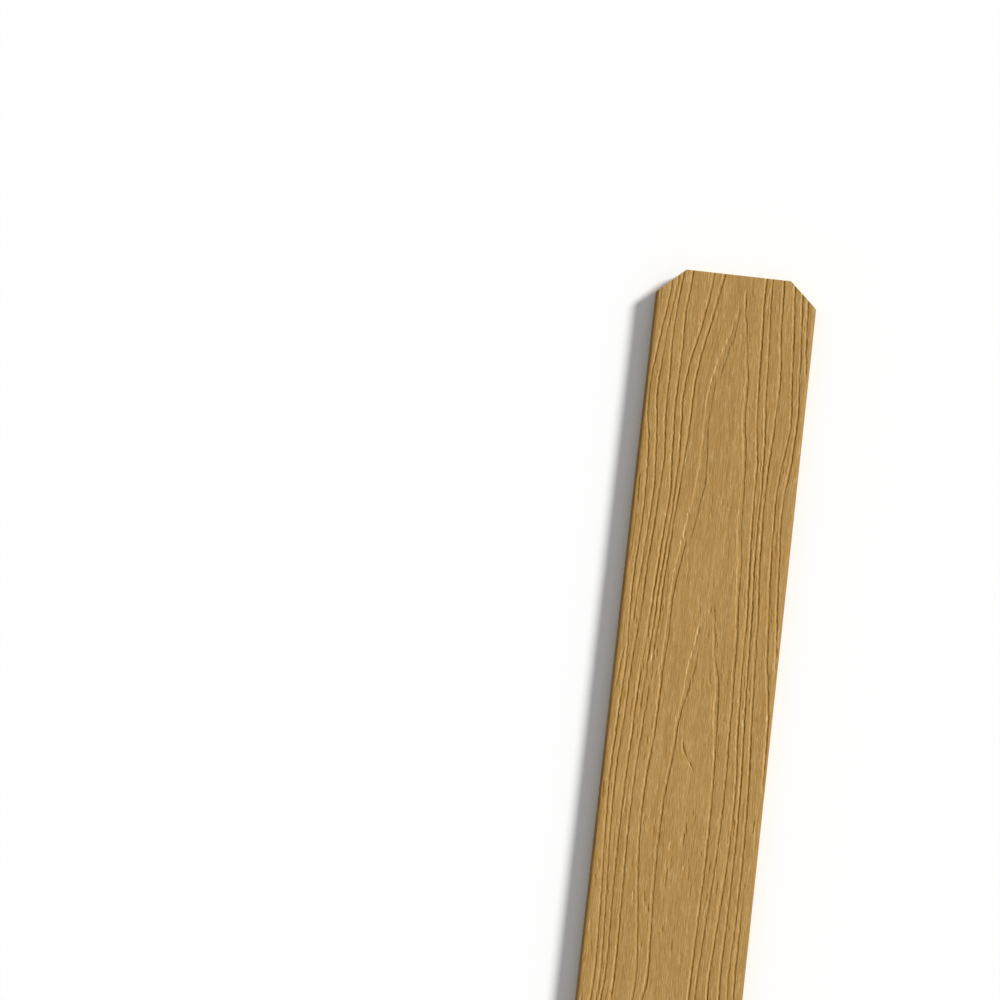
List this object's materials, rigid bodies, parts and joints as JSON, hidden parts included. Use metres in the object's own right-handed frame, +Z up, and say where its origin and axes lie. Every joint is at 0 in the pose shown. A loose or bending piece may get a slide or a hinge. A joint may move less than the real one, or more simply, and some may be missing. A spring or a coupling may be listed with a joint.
{
  "type": "composite fence board",
  "caption": "Dog-eared fence board of solid wood-plastic composite, with eased long edges, corners sawn off its head and a wood grain embossed in both faces.",
  "frame": {"origin": "on the floor, below the middle of the board as it lies on its back face", "axes": "+Y along the board to the dog-eared head, +X across it, +Z up out of its front face"},
  "size_m": [0.1396, 1.8288, 0.0159],
  "materials": {
    "composite": "matte"
  },
  "bodies": {
    "root": {"fence_board": "composite"}
  },
  "joints": []
}
